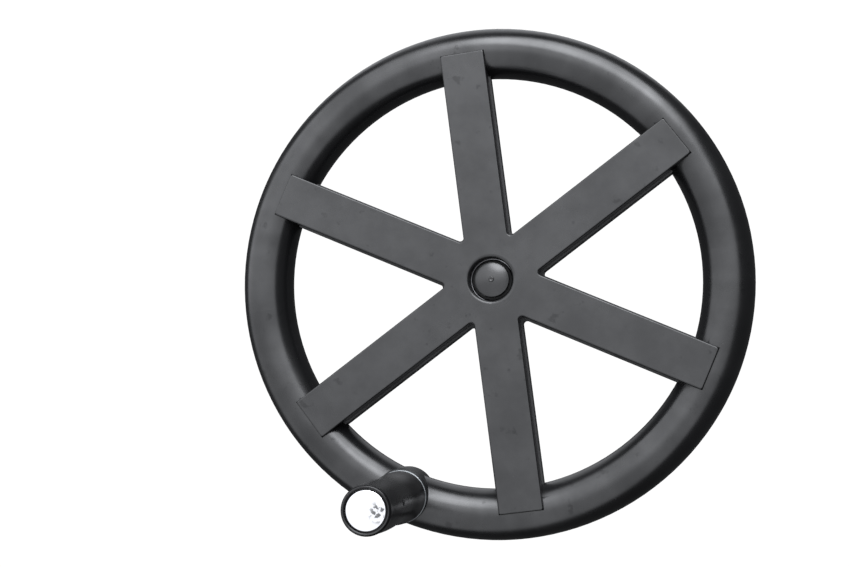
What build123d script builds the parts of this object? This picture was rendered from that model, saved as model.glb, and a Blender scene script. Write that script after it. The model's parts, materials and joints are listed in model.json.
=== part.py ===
"""Six-spoke wheel with a revolving crank handle, in millimetres.

The wheel's axis is Y and its centre is the origin. The front, with the spoke faces and the
handle, looks towards -Y, and one spoke points straight up, along +Z. A height below is a
distance in front of the rim's middle plane, so a height of 10 lies at y = -10.
"""

import os
from math import cos, radians, sin, sqrt

from build123d import *

# ---------------------------------------------------------------- driving dimensions
outer_d = 300.0          # over the rim
rim_d = 29.6             # section of the rim
spoke_count = 6
first_spoke = 90.0       # degrees from +X towards +Z
spoke_w = 25.6           # width of a spoke at its face
face_h = 16.6            # height of the flat spoke faces
parting_h = 5.0          # where the front moulding ends
ledge = 1.1              # the rear moulding stands this much wider on each side
back_h = -9.4            # back of the spokes
wall = 2.4               # moulded wall
gap = 0.15               # assembly gap between mouldings
shaft_r = 9.5            # hub bore
handle_angle = 240.0     # degrees, midway between two spokes
grip_end_h = 120.5       # front end of the grip

# rim and armature
rim_r = rim_d / 2
ring_r = outer_d / 2 - rim_r
core_r = 4.0
arm_w = 14.0
arm_t = 5.0
spider_r = 19.0
tip_reach = 0.99 * ring_r
root_fillet = 2.0
edge_round = 0.9
tip_corner = 1.5
back_round = 3.5

# hub
barrel_r = 15.5
hub_back_h = -26.0
flange_top_h = 6.0
socket_bore_h = 2.0
socket_r = 11.2
recess_r = 12.5
recess_round = 2.0
cap_r = 9.9
cap_edge_h = 12.6
cap_crown_h = 14.6
cap_roof_h = 12.0        # the hollow in the cap ends here
set_screw_h = -20.0
set_screw_r = 3.0
key_w = 6.0
key_depth = 2.8

# cover screws
screw_circle_r = 74.0
screw_r = 1.95
screw_head_r = 3.6
post_r = 4.4

# handle mounting
anchor_r = 7.0
stud_r = 5.0
journal_r = 6.0
collar_r = 9.0
running_gap = 0.05
boss_r = 15.55
boss_inset = 0.65        # the boss reaches the outside of the rim
boss_top_h = 15.2
thrust_ring_r = 15.4
thrust_ring_round = 0.9
nut_pocket_r = 10.2

# grip
bush_r = 8.0
counterbore_r = 11.2     # round the spindle collar
mouth_r = 11.4           # the grip's open front end
foot_r = 14.8
waist_r = 13.05
waist_h = 65.0
step_h = 80.0            # where the fuller front half starts
step_back_r = 13.2
step_front_r = 13.55
swell_r = 13.6
swell_h = 92.0
bezel_r = 13.0
disc_r = 10.3
disc_gap = 0.7           # open groove between the end disc and the bezel

# ---------------------------------------------------------------- places
wheel_axis = Axis.Y
wheel_section = Plane(origin=(0, 0, 0), x_dir=(1, 0, 0), z_dir=(0, 0, -1))
handle_x = ring_r * cos(radians(handle_angle))
handle_z = ring_r * sin(radians(handle_angle))
boss_x = (ring_r - boss_inset) * cos(radians(handle_angle))
boss_z = (ring_r - boss_inset) * sin(radians(handle_angle))
handle_axis = Axis((handle_x, 0, handle_z), (0, -1, 0))
handle_section = Plane(origin=(handle_x, 0, handle_z), x_dir=(1, 0, 0), z_dir=(0, 0, -1))


def at_height(height):
    """A plane across the wheel axis, looking forward, with local x along X and y along Z."""
    return Plane.XZ.offset(height)


def outline(plane, points):
    """A closed straight-sided face from (radius, height) points."""
    with BuildSketch(plane) as face:
        with BuildLine():
            Polyline(*points, close=True)
        make_face()
    return face.sketch


def round_section(plane, radius, centre_radius):
    """A round section standing beside the wheel axis, to be turned into a ring."""
    with BuildSketch(plane) as face:
        with Locations((centre_radius, 0)):
            Circle(radius)
    return face.sketch


def disc(height, radius, x=0.0, z=0.0):
    """A full circle across the wheel axis."""
    with BuildSketch(at_height(height)) as face:
        with Locations((x, z)):
            Circle(radius)
    return face.sketch


def spoke_circle(height, radius):
    """One circle on each spoke, for screws, posts and their holes."""
    with BuildSketch(at_height(height)) as face:
        with PolarLocations(screw_circle_r, spoke_count, first_spoke):
            Circle(radius)
    return face.sketch


def star(height, width, reach, root=0.0, tip=0.0):
    """The six-armed outline of the spokes, with rounded roots between arms and rounded tips."""
    with BuildSketch(at_height(height)) as face:
        with PolarLocations(reach / 2, spoke_count, first_spoke):
            Rectangle(reach, width)
        if root:
            fillet([v for v in face.vertices() if sqrt(v.X**2 + v.Y**2) < 2 * spoke_w], root)
        if tip:
            fillet([v for v in face.vertices() if sqrt(v.X**2 + v.Y**2) > reach], tip)
    return face.sketch


def spoke_ends(height, width, reach):
    """Six separate rectangles, the outer stretch of each spoke, for notches in the rim."""
    length = rim_d
    with BuildSketch(at_height(height)) as face:
        with PolarLocations(reach - length / 2, spoke_count, first_spoke):
            Rectangle(length, width)
    return face.sketch


def save(part, name):
    """Label a finished piece and write it as its own STEP file."""
    part.label = name
    export_step(part, f"parts/{name}.step")


os.makedirs("parts", exist_ok=True)

# ---------------------------------------------------------------- armature
# The rod ring is broken only where the handle's anchor sleeve passes through it.
with BuildPart() as rim_core:
    revolve(round_section(wheel_section, core_r, ring_r), axis=wheel_axis)
    extrude(disc(-rim_r, anchor_r, handle_x, handle_z), amount=rim_d, mode=Mode.SUBTRACT)

# Flat steel spider whose arms end in saddles on the rod ring.
with BuildPart() as spider:
    extrude(star(-arm_t / 2, arm_w, ring_r), amount=arm_t)
    extrude(disc(-arm_t / 2, spider_r), amount=arm_t)
    extrude(disc(-arm_t / 2, barrel_r), amount=arm_t, mode=Mode.SUBTRACT)
    extrude(spoke_circle(-arm_t / 2, screw_r + 0.4), amount=arm_t, mode=Mode.SUBTRACT)
    revolve(round_section(wheel_section, core_r, ring_r), axis=wheel_axis, mode=Mode.SUBTRACT)

# Steel hub: the barrel runs back through the spider, and the flange rests on its front.
with BuildPart() as hub_boss:
    hub_points = [
        (shaft_r, hub_back_h + 1.0),
        (shaft_r + 1.0, hub_back_h),
        (barrel_r - 1.0, hub_back_h),
        (barrel_r, hub_back_h + 1.0),
        (barrel_r, arm_t / 2),
        (spider_r, arm_t / 2),
        (spider_r, flange_top_h),
        (socket_r, flange_top_h),
        (socket_r, socket_bore_h),
        (shaft_r, socket_bore_h),
    ]
    revolve(outline(wheel_section, hub_points), axis=wheel_axis)
    with BuildSketch(at_height(hub_back_h)):
        with Locations((0, (shaft_r + key_depth) / 2)):
            Rectangle(key_w, shaft_r + key_depth)
    extrude(amount=socket_bore_h - hub_back_h, mode=Mode.SUBTRACT)
    with BuildSketch(Plane(origin=(0, -set_screw_h, 0), x_dir=(0, 1, 0), z_dir=(1, 0, 0))):
        Circle(set_screw_r)
    extrude(amount=barrel_r + 1, mode=Mode.SUBTRACT)

# Hexagon-socket set screw across the barrel, flush outside and clear of the bore.
with BuildPart() as set_screw:
    screw_seat = Plane(origin=(shaft_r + 0.4, -set_screw_h, 0), x_dir=(0, 1, 0), z_dir=(1, 0, 0))
    with BuildSketch(screw_seat):
        Circle(set_screw_r - 0.02)
    extrude(amount=4.6)
    with BuildSketch(screw_seat.offset(2.1)):
        RegularPolygon(1.7, 6)
    extrude(amount=3, mode=Mode.SUBTRACT)

# ---------------------------------------------------------------- rim skin
# Moulded round the rod ring, with a notch for each spoke tip and a slot for each spider arm.
slot_reach = ring_r - core_r / 2
with BuildPart() as rim_skin:
    revolve(round_section(wheel_section, rim_r, ring_r), axis=wheel_axis)
    extrude(disc(-rim_d, boss_r, boss_x, boss_z), amount=2 * rim_d, mode=Mode.SUBTRACT)
    extrude(
        spoke_ends(-arm_t / 2 - gap, arm_w + 2 * gap, slot_reach),
        amount=arm_t + 2 * gap,
        mode=Mode.SUBTRACT,
    )
    extrude(
        spoke_ends(parting_h - gap, spoke_w + 2 * gap, tip_reach + gap),
        amount=rim_r,
        mode=Mode.SUBTRACT,
    )
    revolve(round_section(wheel_section, core_r, ring_r), axis=wheel_axis, mode=Mode.SUBTRACT)

# ---------------------------------------------------------------- spoke covers
# Front moulding: flat-faced channel on every spoke, with a round recess at the hub.
with BuildPart() as front_cover:
    extrude(
        star(parting_h, spoke_w, tip_reach, root=root_fillet, tip=tip_corner),
        amount=face_h - parting_h,
    )
    face_edges = front_cover.faces().sort_by(Axis.Y)[0].edges()
    fillet(face_edges, edge_round)
    cavity_reach = tip_reach - wall
    extrude(
        star(parting_h, spoke_w - 2 * wall, cavity_reach, root=root_fillet + wall),
        amount=face_h - parting_h - wall,
        mode=Mode.SUBTRACT,
    )
    extrude(disc(flange_top_h, recess_r + wall), amount=face_h - flange_top_h - 1)
    post_top_h = face_h - wall / 2
    extrude(spoke_circle(arm_t / 2, post_r), amount=post_top_h - arm_t / 2)
    extrude(spoke_circle(arm_t / 2, screw_r + 0.02), amount=9.0, mode=Mode.SUBTRACT)
    extrude(disc(flange_top_h, recess_r), amount=face_h, mode=Mode.SUBTRACT)
    recess_rim = front_cover.edges().filter_by(GeomType.CIRCLE).filter_by(
        lambda e: abs(e.radius - recess_r) < 0.01 and abs(e.center().Y + face_h) < 0.01
    )
    fillet(recess_rim, recess_round)

# Rear moulding: channel with rounded back edges, a ledge that stands out past the front
# moulding, a tongue into it, and a collar round the hub barrel.
with BuildPart() as rear_cover:
    groove = 0.6
    rear_w = spoke_w + 2 * ledge
    rear_top_h = parting_h - groove
    tongue_h = parting_h + 2.6
    tongue_w = spoke_w - 2 * wall - 2 * gap
    channel_w = tongue_w - 3.0
    tongue_reach = ring_r - rim_r - 2.5
    extrude(star(back_h, rear_w, ring_r, root=root_fillet), amount=rear_top_h - back_h)
    fillet(rear_cover.faces().sort_by(Axis.Y)[-1].edges(), back_round)
    extrude(
        star(rear_top_h, tongue_w, tongue_reach, root=root_fillet + wall),
        amount=tongue_h - rear_top_h,
    )
    extrude(
        star(back_h + wall, channel_w, ring_r, root=root_fillet + 2 * wall),
        amount=rim_d,
        mode=Mode.SUBTRACT,
    )
    collar_points = [
        (barrel_r + gap, back_h - 3.6),
        (barrel_r + 2.0, back_h - 4.6),
        (barrel_r + 3.4, back_h - 3.6),
        (barrel_r + 5.0, back_h + wall),
        (barrel_r + gap, back_h + wall),
    ]
    revolve(outline(wheel_section, collar_points), axis=wheel_axis)
    extrude(spoke_circle(back_h + wall / 2, post_r), amount=-arm_t / 2 - back_h - wall / 2)
    extrude(disc(back_h - 6, barrel_r + gap), amount=rim_d, mode=Mode.SUBTRACT)
    extrude(disc(-arm_t / 2, spider_r + 1), amount=rim_d, mode=Mode.SUBTRACT)
    extrude(spoke_circle(back_h, screw_r + 0.4), amount=rim_r, mode=Mode.SUBTRACT)
    extrude(spoke_circle(back_h - 1, screw_head_r + 0.3), amount=4.0, mode=Mode.SUBTRACT)
    revolve(round_section(wheel_section, rim_r + gap, ring_r), axis=wheel_axis, mode=Mode.SUBTRACT)
    with BuildSketch(wheel_section):
        with Locations((ring_r + rim_r / 2, 0)):
            Rectangle(rim_d, 2 * rim_d)
    revolve(axis=wheel_axis, mode=Mode.SUBTRACT)

# Pan-head screws from the back, through the spider into the front moulding's posts.
with BuildPart() as cover_screws:
    head_h = back_h + 3.0
    extrude(spoke_circle(head_h - 2.4, screw_head_r), amount=2.4)
    extrude(spoke_circle(head_h, screw_r), amount=16.0)
    with BuildSketch(at_height(head_h - 2.4)):
        with PolarLocations(screw_circle_r, spoke_count, first_spoke):
            Rectangle(3.6, 0.8)
            Rectangle(0.8, 3.6)
    extrude(amount=1.2, mode=Mode.SUBTRACT)

# ---------------------------------------------------------------- hub cap
# Flanged socket pressed into the hub, which the cap snaps into.
with BuildPart() as cap_socket:
    socket_points = [
        (cap_r + gap, socket_bore_h + 0.2),
        (socket_r - 0.05, socket_bore_h + 0.2),
        (socket_r - 0.05, flange_top_h),
        (recess_r - 0.4, flange_top_h),
        (recess_r - 0.4, flange_top_h + 1.2),
        (recess_r - 1.1, flange_top_h + 1.9),
        (cap_r + gap, flange_top_h + 1.9),
    ]
    revolve(outline(wheel_section, socket_points), axis=wheel_axis)

# Cap with a skirt and a shallow spherical dome, below the spoke faces.
cap_wall = 1.8
dome_rise = cap_crown_h - cap_edge_h
dome_r = (cap_r**2 + dome_rise**2) / (2 * dome_rise)
dome_middle = (cap_r / 2, cap_crown_h - dome_r + sqrt(dome_r**2 - cap_r**2 / 4))
with BuildPart() as hub_cap:
    with BuildSketch(wheel_section):
        with BuildLine():
            Polyline(
                (0, cap_roof_h),
                (cap_r - cap_wall, cap_roof_h),
                (cap_r - cap_wall, socket_bore_h + 0.6),
                (cap_r, socket_bore_h + 0.6),
                (cap_r, cap_edge_h),
            )
            ThreePointArc((cap_r, cap_edge_h), dome_middle, (0, cap_crown_h))
            Line((0, cap_crown_h), (0, cap_roof_h))
        make_face()
    revolve(axis=wheel_axis)

# ---------------------------------------------------------------- handle mounting
# Steel sleeve welded into the break in the rod ring.
anchor_back_h = -8.0
anchor_top_h = 12.0
with BuildPart() as handle_anchor:
    anchor_points = [
        (stud_r + running_gap, anchor_back_h),
        (anchor_r, anchor_back_h),
        (anchor_r, anchor_top_h),
        (stud_r + running_gap, anchor_top_h),
    ]
    revolve(outline(handle_section, anchor_points), axis=handle_axis)

# Moulded boss round the anchor, flush with the rim's outside and swelling inwards.
with BuildPart() as handle_boss:
    boss_back_h = -rim_r + 0.6
    extrude(disc(boss_back_h, boss_r, boss_x, boss_z), amount=boss_top_h - boss_back_h)
    chamfer(handle_boss.faces().sort_by(Axis.Y)[0].edges(), 1.2)
    fillet(handle_boss.faces().sort_by(Axis.Y)[-1].edges(), 3.0)
    inside_points = [
        (0, -rim_r),
        (nut_pocket_r, -rim_r),
        (nut_pocket_r, anchor_back_h),
        (anchor_r, anchor_back_h),
        (anchor_r, anchor_top_h),
        (stud_r + running_gap, anchor_top_h),
        (stud_r + running_gap, rim_r + 1),
        (0, rim_r + 1),
    ]
    revolve(outline(handle_section, inside_points), axis=handle_axis, mode=Mode.SUBTRACT)
    revolve(round_section(wheel_section, core_r, ring_r), axis=wheel_axis, mode=Mode.SUBTRACT)

# Bright thrust ring at the foot of the grip, with a rounded edge.
ring_back_h = boss_top_h
ring_front_h = ring_back_h + 2.0
with BuildPart() as thrust_ring:
    ring_points = [
        (stud_r + running_gap, ring_back_h),
        (thrust_ring_r, ring_back_h),
        (thrust_ring_r, ring_front_h),
        (stud_r + running_gap, ring_front_h),
    ]
    revolve(outline(handle_section, ring_points), axis=handle_axis)
    ring_edges = thrust_ring.edges().filter_by(GeomType.CIRCLE).filter_by(
        lambda e: abs(e.radius - thrust_ring_r) < 0.01
    )
    fillet(ring_edges, thrust_ring_round)

# Shouldered spindle: stud through the rim, clamping collar, then the journal.
collar_front_h = ring_front_h + 3.0
journal_end_h = 104.0
nut_washer_r = 9.6
nut_front_h = anchor_back_h - 1.6
nut_t = 5.0
pilot_depth = 16.0
end_screw_r = 3.0
with BuildPart() as spindle:
    spindle_points = [
        (0, nut_front_h - nut_t - 0.2),
        (stud_r - 0.8, nut_front_h - nut_t - 0.2),
        (stud_r, nut_front_h - nut_t + 0.6),
        (stud_r, ring_front_h),
        (collar_r, ring_front_h),
        (collar_r, collar_front_h),
        (journal_r, collar_front_h),
        (journal_r, journal_end_h),
        (end_screw_r + 0.02, journal_end_h),
        (end_screw_r + 0.02, journal_end_h - pilot_depth),
        (0, journal_end_h - pilot_depth),
    ]
    revolve(outline(handle_section, spindle_points), axis=handle_axis)

with BuildPart() as spindle_washer:
    washer_points = [
        (stud_r + 0.2, nut_front_h),
        (nut_washer_r, nut_front_h),
        (nut_washer_r, anchor_back_h),
        (stud_r + 0.2, anchor_back_h),
    ]
    revolve(outline(handle_section, washer_points), axis=handle_axis)

with BuildPart() as spindle_nut:
    with BuildSketch(at_height(nut_front_h - nut_t)):
        with Locations((handle_x, handle_z)):
            RegularPolygon(8.0, 6, major_radius=False)
            Circle(stud_r + 0.02, mode=Mode.SUBTRACT)
    extrude(amount=nut_t)

# ---------------------------------------------------------------- revolving grip
rear_bush_h = collar_front_h + 0.5
front_bush_h = 88.0
bush_length = 14.0
bush_flange_t = 1.5
bush_flange_r = 10.0


def bush(body_from, body_to, flange_from):
    """A flanged plain bush on the handle axis; the flange may be at either end."""
    body = [
        (journal_r + running_gap, body_from),
        (bush_r, body_from),
        (bush_r, body_to),
        (journal_r + running_gap, body_to),
    ]
    flange = [
        (journal_r + running_gap, flange_from),
        (bush_flange_r, flange_from),
        (bush_flange_r, flange_from + bush_flange_t),
        (journal_r + running_gap, flange_from + bush_flange_t),
    ]
    revolve(outline(handle_section, body), axis=handle_axis)
    revolve(outline(handle_section, flange), axis=handle_axis)


with BuildPart() as rear_bush:
    bush(rear_bush_h, rear_bush_h + bush_length, rear_bush_h)

with BuildPart() as front_bush:
    bush(front_bush_h, front_bush_h + bush_length, front_bush_h + bush_length)

# Grip: flared foot, waist, a small step, and a fuller front half that ends behind the bezel.
grip_back_h = ring_front_h + 0.4
grip_front_h = grip_end_h - 5.0
with BuildPart() as grip_sleeve:
    foot = (foot_r, grip_back_h + 1.2)
    step_back = (step_back_r, step_h - 0.8)
    step_front = (step_front_r, step_h)
    front_bush_end_h = front_bush_h + bush_length
    with BuildSketch(handle_section):
        with BuildLine():
            Polyline((counterbore_r, grip_back_h), (foot_r - 0.2, grip_back_h), foot)
            Spline(
                foot,
                (14.5, 37.0),
                (13.3, 53.0),
                (waist_r, waist_h),
                step_back,
                tangents=((-0.02, 1), (0.02, 1)),
            )
            Line(step_back, step_front)
            Spline(
                step_front,
                (swell_r, swell_h),
                (13.25, 106.0),
                (bezel_r, grip_front_h),
                tangents=((0.02, 1), (-0.02, 1)),
            )
            Polyline(
                (bezel_r, grip_front_h),
                (mouth_r, grip_front_h),
                (mouth_r, front_bush_end_h + bush_flange_t),
                (bush_flange_r, front_bush_end_h + bush_flange_t),
                (bush_flange_r, front_bush_end_h),
                (bush_r, front_bush_end_h),
                (bush_r, front_bush_h),
                (bush_r + 1, front_bush_h),
                (bush_r + 1, rear_bush_h + bush_length),
                (bush_r, rear_bush_h + bush_length),
                (bush_r, rear_bush_h + bush_flange_t),
                (counterbore_r, rear_bush_h + bush_flange_t),
                (counterbore_r, grip_back_h),
            )
        make_face()
    revolve(axis=handle_axis)

# Conical spring washer, flat washer and screw that keep the grip on the spindle.
spring_back_h = front_bush_h + bush_length + bush_flange_t + 0.1
with BuildPart() as spring_washer:
    spring_points = [
        (journal_r + 0.3, journal_end_h - 0.5),
        (9.2, spring_back_h),
        (9.6, spring_back_h),
        (journal_r + 0.7, journal_end_h - 0.1),
        (journal_r + 0.3, journal_end_h - 0.1),
    ]
    revolve(outline(handle_section, spring_points), axis=handle_axis)

end_washer_t = 1.6
end_washer_r = 10.0
with BuildPart() as end_washer:
    end_washer_points = [
        (end_screw_r + 0.2, journal_end_h),
        (end_washer_r, journal_end_h),
        (end_washer_r, journal_end_h + end_washer_t),
        (end_screw_r + 0.2, journal_end_h + end_washer_t),
    ]
    revolve(outline(handle_section, end_washer_points), axis=handle_axis)

with BuildPart() as end_screw:
    head_back_h = journal_end_h + end_washer_t
    head_t = 3.3
    head_r = 5.25
    end_screw_points = [
        (0, journal_end_h - pilot_depth + 2),
        (end_screw_r, journal_end_h - pilot_depth + 2),
        (end_screw_r, head_back_h),
        (head_r, head_back_h),
        (head_r, head_back_h + head_t - 1),
        (head_r - 1.2, head_back_h + head_t),
        (0, head_back_h + head_t),
    ]
    revolve(outline(handle_section, end_screw_points), axis=handle_axis)
    with BuildSketch(at_height(head_back_h + head_t)):
        with Locations((handle_x, handle_z)):
            RegularPolygon(2.0, 6)
    extrude(amount=-2.0, mode=Mode.SUBTRACT)

# Bezel cup with a rounded lip, pressed into the grip's front end.
web_h = grip_end_h - 5.0
web_t = 1.5
disc_back_h = web_h + web_t + 0.8
with BuildPart() as end_bezel:
    spigot_r = mouth_r - 0.02
    spigot_inner_r = 9.6
    spigot_h = web_h - 3.0
    bead_r = 12.0
    bead_outside = (bezel_r + 0.05, grip_end_h - 1.8)
    bead_shoulder = (bezel_r - 0.3, grip_end_h - 0.6)
    bead_inside = (disc_r + disc_gap, grip_end_h - 0.9)
    bead_bevel = (disc_r + disc_gap + 0.3, grip_end_h - 0.3)
    with BuildSketch(handle_section):
        with BuildLine():
            Polyline(
                bead_inside,
                (disc_r + disc_gap, web_h + web_t),
                (0, web_h + web_t),
                (0, web_h),
                (spigot_inner_r, web_h),
                (spigot_inner_r, spigot_h),
                (spigot_r, spigot_h),
                (spigot_r, web_h),
                (bezel_r, web_h),
                bead_outside,
            )
            ThreePointArc(bead_outside, bead_shoulder, (bead_r, grip_end_h))
            ThreePointArc((bead_r, grip_end_h), bead_bevel, bead_inside)
        make_face()
    revolve(axis=handle_axis)

with BuildPart() as disc_pad:
    pad_back_h = web_h + web_t
    extrude(disc(pad_back_h, disc_r - 0.8, handle_x, handle_z), amount=disc_back_h - pad_back_h)

# Polished end disc with a narrow rounded edge.
with BuildPart() as end_disc:
    extrude(disc(disc_back_h, disc_r, handle_x, handle_z), amount=grip_end_h - 0.2 - disc_back_h)
    fillet(end_disc.faces().sort_by(Axis.Y)[0].edges(), 0.35)

# ---------------------------------------------------------------- write every piece
pieces = {
    "rim_core": rim_core,
    "spider": spider,
    "hub_boss": hub_boss,
    "set_screw": set_screw,
    "rim_skin": rim_skin,
    "front_cover": front_cover,
    "rear_cover": rear_cover,
    "cover_screws": cover_screws,
    "cap_socket": cap_socket,
    "hub_cap": hub_cap,
    "handle_anchor": handle_anchor,
    "handle_boss": handle_boss,
    "thrust_ring": thrust_ring,
    "spindle": spindle,
    "spindle_washer": spindle_washer,
    "spindle_nut": spindle_nut,
    "rear_bush": rear_bush,
    "front_bush": front_bush,
    "grip_sleeve": grip_sleeve,
    "spring_washer": spring_washer,
    "end_washer": end_washer,
    "end_screw": end_screw,
    "end_bezel": end_bezel,
    "disc_pad": disc_pad,
    "end_disc": end_disc,
}
for name, piece in pieces.items():
    save(piece.part, name)
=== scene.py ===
"""Looks of the six-spoke wheel with a revolving crank handle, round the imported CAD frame, in metres.

The wheel's axis is Y. Its front, with the spoke faces and the handle, looks towards -Y, and +Z is up.
"""

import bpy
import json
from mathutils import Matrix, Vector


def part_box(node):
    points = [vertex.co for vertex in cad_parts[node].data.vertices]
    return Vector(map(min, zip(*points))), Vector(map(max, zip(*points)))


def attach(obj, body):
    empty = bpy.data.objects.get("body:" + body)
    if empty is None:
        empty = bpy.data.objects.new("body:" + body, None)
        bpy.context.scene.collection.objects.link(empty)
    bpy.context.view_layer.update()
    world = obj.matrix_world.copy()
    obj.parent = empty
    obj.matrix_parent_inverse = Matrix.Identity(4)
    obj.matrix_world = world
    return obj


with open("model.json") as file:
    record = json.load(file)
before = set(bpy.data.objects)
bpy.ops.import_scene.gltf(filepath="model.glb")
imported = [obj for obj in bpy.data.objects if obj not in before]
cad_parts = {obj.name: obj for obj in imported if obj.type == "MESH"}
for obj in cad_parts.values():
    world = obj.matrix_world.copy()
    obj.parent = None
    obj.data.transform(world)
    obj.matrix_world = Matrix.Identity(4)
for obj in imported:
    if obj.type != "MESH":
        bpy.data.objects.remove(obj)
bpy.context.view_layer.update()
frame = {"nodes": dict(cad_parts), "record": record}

import json
from math import cos, pi, radians, sin

import bmesh
import bpy
from mathutils import Matrix, Vector

nodes = frame["nodes"]


def middle(node):
    """The middle of a CAD node's box."""
    low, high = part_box(node)
    return (low + high) / 2


# ---------------------------------------------------------------- node helpers
class Nodes:
    """A node tree, built up node by node."""

    def __init__(self, tree):
        self.tree = tree

    def link(self, value, socket):
        """Link an output to this socket, or set a plain value on it."""
        if isinstance(value, bpy.types.NodeSocket):
            self.tree.links.new(value, socket)
        else:
            socket.default_value = value

    def add(self, kind, inputs=None, **settings):
        """A node of this kind, with its settings and its inputs as values or links."""
        node = self.tree.nodes.new(kind)
        for key, value in settings.items():
            setattr(node, key, value)
        for key, value in (inputs or {}).items():
            self.link(value, node.inputs[key])
        return node

    def noise(self, scale, detail, rough, vector):
        """Noise from 0 to 1, with this many features in a unit of the vector."""
        inputs = {"Vector": vector, "Scale": scale, "Detail": detail, "Roughness": rough}
        return self.add("ShaderNodeTexNoise", inputs).outputs["Fac"]

    def spread(self, value, low, high, low_to, high_to, curve="SMOOTHSTEP"):
        """Map a range of values onto another, held at its ends."""
        inputs = {"Value": value, 1: low, 2: high, 3: low_to, 4: high_to}
        return self.add("ShaderNodeMapRange", inputs, interpolation_type=curve).outputs["Result"]

    def maths(self, operation, first, second):
        """Arithmetic on two values."""
        return self.add("ShaderNodeMath", {0: first, 1: second}, operation=operation).outputs["Value"]


class Shader(Nodes):
    """A principled material."""

    def __init__(self, name):
        self.material = bpy.data.materials.new(name)
        self.material.use_nodes = True
        super().__init__(self.material.node_tree)
        self.surface = self.tree.nodes["Principled BSDF"]

    def set(self, **values):
        """Set or link inputs of the surface shader, with _ for a space."""
        for key, value in values.items():
            self.link(value, self.surface.inputs[key.replace("_", " ")])

    def place(self):
        """Coordinates in metres, fixed to the piece."""
        return self.add("ShaderNodeTexCoord").outputs["Object"]

    def noise(self, scale, detail=3.0, rough=0.5, vector=None):
        """Noise from 0 to 1, with this many features in a metre unless a vector is given."""
        return super().noise(scale, detail, rough, vector or self.place())

    def tint(self, factor, dark, light):
        """A colour between two, by a factor. Each colour is three numbers or a link."""
        node = self.add("ShaderNodeMix", data_type="RGBA")
        self.link(factor, node.inputs["Factor"])
        for colour, socket in ((dark, node.inputs[6]), (light, node.inputs[7])):
            self.link((*colour, 1) if isinstance(colour, tuple) else colour, socket)
        return node.outputs[2]

    def bump(self, height, depth, strength=1.0, under=None):
        """Relief, where a height of 1 stands this many metres proud."""
        inputs = {"Height": height, "Distance": depth, "Strength": strength}
        node = self.add("ShaderNodeBump", inputs)
        if under:
            self.link(under, node.inputs["Normal"])
        return node.outputs["Normal"]


# ---------------------------------------------------------------- materials
finishes = {}


def moulded(name, dark, light, rough, grain_depth, specular=0.75, banded=False):
    """A satin finish, as on moulded plastic: slow patches of tone and gloss, dull smudges and grain.

    A few small scuffs are dark grey. A banded finish also has faint bands of gloss across it, one
    after another round the wheel's axis.
    """
    shader = Shader(name)
    patches = shader.noise(18, 4.0, 0.55)
    patch_edges = (0.35, 0.68)
    tone = shader.tint(shader.spread(patches, *patch_edges, 0, 1), dark, light)
    scuffs = shader.spread(shader.noise(260, 5.0, 0.7), 0.69, 0.75, 0, 1)
    scuff_colour = (0.035, 0.036, 0.038)
    shader.set(Base_Color=shader.tint(scuffs, tone, scuff_colour))
    shader.set(Roughness=shader.spread(patches, *patch_edges, rough + 0.05, rough - 0.05))

    gloss = shader.spread(shader.noise(42, 5.0, 0.6), 0.3, 0.7, specular * 0.93, specular * 1.17)
    smudges = shader.spread(shader.noise(130, 3.0, 0.55), 0.63, 0.73, 1.0, 0.74)
    gloss = shader.maths("MULTIPLY", gloss, smudges)
    if banded:
        along = shader.add("ShaderNodeSeparateXYZ", {"Vector": shader.place()})
        turn = shader.maths("ARCTAN2", along.outputs["Z"], along.outputs["X"])
        row = shader.add("ShaderNodeCombineXYZ", {"X": turn})
        bands = shader.noise(5, 2.0, 0.5, row.outputs["Vector"])
        gloss = shader.maths("MULTIPLY", gloss, shader.spread(bands, 0.38, 0.62, 0.9, 1.08))
    shader.set(Specular_IOR_Level=gloss)

    wave_depth = 0.00012
    waves = shader.bump(shader.noise(45, 2.0, 0.4), wave_depth, 0.6)
    shader.set(Normal=shader.bump(shader.noise(2600, 2.0, 0.5), grain_depth, under=waves))
    finishes[name] = shader.material


def metal(name, dark, light, rough, grain_depth=0.00001):
    """Machined metal. Its marks are crowded along Y, so walls round that axis show fine streaks."""
    shader = Shader(name)
    crowded_along_axis = (1, 40, 1)
    mapped = shader.add("ShaderNodeMapping", {"Vector": shader.place(), "Scale": crowded_along_axis})
    marks = shader.noise(220, 4.0, 0.6, mapped.outputs["Vector"])
    mark_edges = (0.3, 0.7)
    shader.set(Base_Color=shader.tint(shader.spread(marks, *mark_edges, 0, 1), dark, light))
    shader.set(Metallic=1.0)
    shader.set(Roughness=shader.spread(marks, *mark_edges, rough * 1.25, rough * 0.8))
    shader.set(Normal=shader.bump(marks, grain_depth))
    finishes[name] = shader.material


charcoal = (0.0055, 0.0056, 0.006)
graphite = (0.008, 0.0081, 0.0086)
moulded("rim_skin", charcoal, graphite, rough=0.25, grain_depth=0.00001, banded=True)
moulded("spoke_moulding", charcoal, graphite, rough=0.3, grain_depth=0.00002)
moulded("rear_moulding", charcoal, graphite, rough=0.5, grain_depth=0.00003)
moulded("boss_moulding", charcoal, graphite, rough=0.34, grain_depth=0.00003)
moulded("cap_plastic", charcoal, graphite, rough=0.27, grain_depth=0.00002)

socket_dark = (0.003, 0.003, 0.0032)
socket_light = (0.005, 0.005, 0.0053)
moulded("socket_plastic", socket_dark, socket_light, rough=0.5, grain_depth=0.00003, specular=0.25)
grip_dark = (0.005, 0.005, 0.0054)
grip_light = (0.008, 0.008, 0.0085)
moulded("grip_plastic", grip_dark, grip_light, rough=0.3, grain_depth=0.00001, specular=0.45)
bezel_dark = (0.004, 0.004, 0.0044)
bezel_light = (0.006, 0.006, 0.0065)
moulded("bezel_gloss", bezel_dark, bezel_light, rough=0.24, grain_depth=0.00001, specular=0.45)

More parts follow.
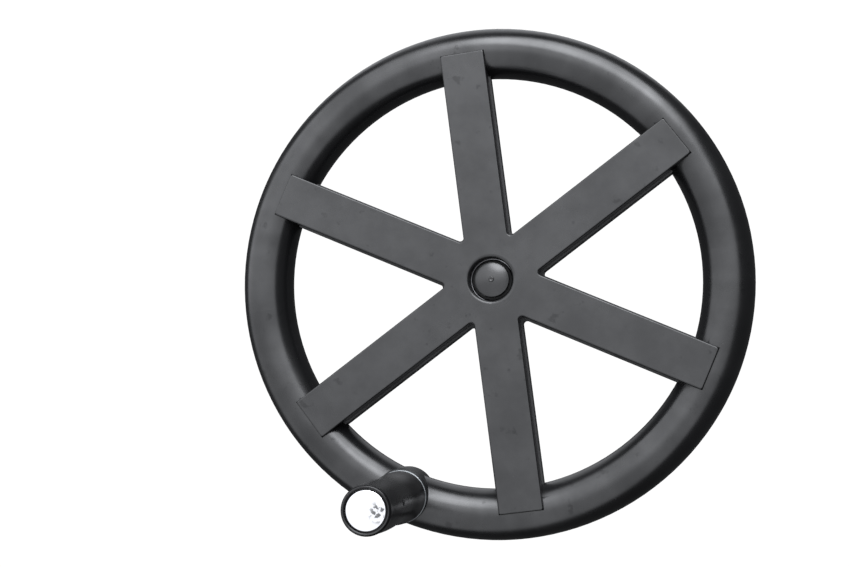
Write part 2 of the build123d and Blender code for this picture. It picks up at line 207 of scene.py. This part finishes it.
moulded("bush_plastic", (0.60, 0.57, 0.48), (0.70, 0.67, 0.58), rough=0.4, grain_depth=0.00002)
moulded("pad_rubber", (0.02, 0.02, 0.02), (0.03, 0.03, 0.03), rough=0.7, grain_depth=0.00005)
metal("ring_chrome", (0.12, 0.13, 0.135), (0.28, 0.29, 0.295), rough=0.34)
metal("disc_chrome", (0.88, 0.88, 0.89), (0.94, 0.94, 0.95), rough=0.004, grain_depth=0.0)
moulded("armature_steel", (0.02, 0.02, 0.022), (0.035, 0.035, 0.037), rough=0.45, grain_depth=0.00004)
metal("hub_steel", (0.30, 0.30, 0.31), (0.44, 0.44, 0.45), rough=0.3)
metal("spindle_steel", (0.42, 0.42, 0.43), (0.56, 0.56, 0.57), rough=0.25)
metal("screw_steel", (0.40, 0.40, 0.40), (0.55, 0.55, 0.54), rough=0.3)

for part in frame["record"]["subparts"]:
    mesh = nodes[part["node"]].data
    for index in range(len(mesh.materials)):
        mesh.materials[index] = finishes[part["material_slot"]]


# ---------------------------------------------------------------- small moulding marks
def pip(name, centre, outward, proud):
    """A low round pip with a dished middle, that stands this far proud of a surface."""
    radius = 0.0016
    sides = 24
    # Each ring's share of the radius and of the height, from the sunk foot to the dish.
    rings = [(1.0, -0.4), (0.97, 0.55), (0.8, 1.0), (0.55, 0.9), (0.3, 0.45)]
    form = bmesh.new()
    loops = []
    for share, rise in rings:
        loop = []
        for side in range(sides):
            turn = 2 * pi * side / sides
            across, up = radius * share * cos(turn), radius * share * sin(turn)
            loop.append(form.verts.new((across, up, proud * rise)))
        loops.append(loop)
    for inner, outer in zip(loops[1:], loops):
        for side in range(sides):
            after = (side + 1) % sides
            form.faces.new((outer[side], outer[after], inner[after], inner[side]))
    form.faces.new(loops[-1])
    for face in form.faces:
        face.smooth = True
    mesh = bpy.data.meshes.new(name)
    form.to_mesh(mesh)
    form.free()
    piece = bpy.data.objects.new(name, mesh)
    bpy.context.scene.collection.objects.link(piece)
    piece.location = centre
    piece.rotation_mode = "QUATERNION"
    piece.rotation_quaternion = outward.to_track_quat("Z", "Y")
    return piece


forward = Vector((0, -1, 0))
cap_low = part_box("hub_cap")[0]
cap_pip = pip("cap_pip", Vector((0, cap_low.y, 0)), forward, proud=0.0006)
cap_pip.data.materials.append(finishes["cap_plastic"])
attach(cap_pip, "cap")

# Moulding mark on the grip's fuller front half, just in front of its step.
grip_axis = middle("grip_sleeve")
bezel_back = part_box("end_bezel")[1].y
mark_behind_bezel = 0.027
mark_radius = 0.01357
sideways = Vector((1, 0, 0))
mark_place = Vector((grip_axis.x, bezel_back + mark_behind_bezel, grip_axis.z)) + sideways * mark_radius
grip_mark = pip("grip_mark", mark_place, sideways, proud=0.0004)
grip_mark.data.materials.append(finishes["grip_plastic"])
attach(grip_mark, "grip")

# ---------------------------------------------------------------- studio
world = bpy.data.worlds.new("studio")
world.use_nodes = True
bpy.context.scene.world = world
bpy.context.scene.view_settings.view_transform = "Standard"
world.node_tree.nodes.clear()
sky = Nodes(world.node_tree)
direction = sky.add("ShaderNodeTexCoord").outputs["Generated"]


def towards(right_deg, up_deg):
    """A direction seen from the wheel: degrees to the right of its front, and up."""
    right, up = radians(right_deg), radians(up_deg)
    return Vector((sin(right) * cos(up), -cos(right) * cos(up), sin(up)))


def panel(centre, radius_deg, soft_deg, strength):
    """A round light in the sky, that fades out over soft_deg on each side of its radius."""
    toward = sky.add("ShaderNodeVectorMath", {0: direction, 1: centre}, operation="DOT_PRODUCT")
    inner, outer = cos(radians(radius_deg - soft_deg)), cos(radians(radius_deg + soft_deg))
    return sky.spread(toward.outputs["Value"], outer, inner, 0.0, strength)


# A broad light in front, brighter above the horizon and dimmer far to the left.
parts = sky.add("ShaderNodeSeparateXYZ", {0: direction})
light = panel(towards(-31, 0), radius_deg=71, soft_deg=5, strength=1.80)
brighter_above = sky.spread(parts.outputs["Z"], -0.05, 0.25, 0.62, 1.12, curve="LINEAR")
dimmer_left = sky.spread(parts.outputs["X"], -1.0, -0.25, 0.72, 1.0, curve="LINEAR")
light = sky.maths("MULTIPLY", light, brighter_above)
light = sky.maths("MULTIPLY", light, dimmer_left)

# A few small dark things in the studio, that show in the polished disc.
seen_in_disc = Vector((-0.191, -0.98, -0.0555)).normalized()
clutter_at = panel(seen_in_disc, radius_deg=0.36, soft_deg=0.16, strength=1.0)
clutter = sky.noise(330.0, 3.0, 0.5, direction)
clutter_dark = sky.maths("MULTIPLY", sky.spread(clutter, 0.5, 0.58, 0.0, 0.85), clutter_at)
light = sky.maths("MULTIPLY", light, sky.maths("SUBTRACT", 1.0, clutter_dark))

high_right = panel(towards(27, 48), radius_deg=23, soft_deg=6, strength=4.6)
high_behind = panel(towards(180, 50), radius_deg=27, soft_deg=9, strength=0.8)
ambient = 0.07
for more in (high_right, high_behind, ambient):
    light = sky.maths("ADD", light, more)

# The camera sees a plain white backdrop, and the object is lit by the lights.
lights = sky.add("ShaderNodeBackground", {"Color": (0.965, 0.985, 1.03, 1), "Strength": light})
backdrop = sky.add("ShaderNodeBackground", {"Color": (1, 1, 1, 1), "Strength": 1.05})
seen = sky.add("ShaderNodeLightPath").outputs["Is Camera Ray"]
mixed = sky.add("ShaderNodeMixShader", {0: seen, 1: lights.outputs[0], 2: backdrop.outputs[0]})
sky.add("ShaderNodeOutputWorld", {"Surface": mixed.outputs[0]})

# The floor is out of sight of the object, which neither reflects it nor is lit by it.
floor_radius = 1.4
floor_height = -0.45
floor_mesh = bpy.data.meshes.new("floor")
floor_form = bmesh.new()
bmesh.ops.create_circle(floor_form, cap_ends=True, segments=96, radius=floor_radius)
floor_form.to_mesh(floor_mesh)
floor_form.free()
floor = bpy.data.objects.new("floor", floor_mesh)
floor.location.z = floor_height
bpy.context.scene.collection.objects.link(floor)
floor_shader = Shader("floor_pale")
floor_shader.set(Roughness=0.8)
floor_patches = floor_shader.noise(3)
floor_shader.set(Base_Color=floor_shader.tint(floor_patches, (0.72, 0.72, 0.72), (0.78, 0.78, 0.78)))
floor_mesh.materials.append(floor_shader.material)
floor.visible_glossy = False
floor.visible_diffuse = False

# ---------------------------------------------------------------- camera
camera_data = bpy.data.cameras.new("camera")
camera_data.lens = 60.35
camera_data.sensor_width = 36.0
camera_data.clip_start = 0.02
camera = bpy.data.objects.new("camera", camera_data)
bpy.context.scene.collection.objects.link(camera)
camera.location = (0.07733, -0.82862, -0.0788)
aim = Vector((-0.04055, 0.0, 0.00427))
roll = radians(-7.1165)
facing = (aim - camera.location).to_track_quat("-Z", "Y")
camera.rotation_mode = "QUATERNION"
camera.rotation_quaternion = facing @ Matrix.Rotation(roll, 3, "Z").to_quaternion()
bpy.context.scene.camera = camera
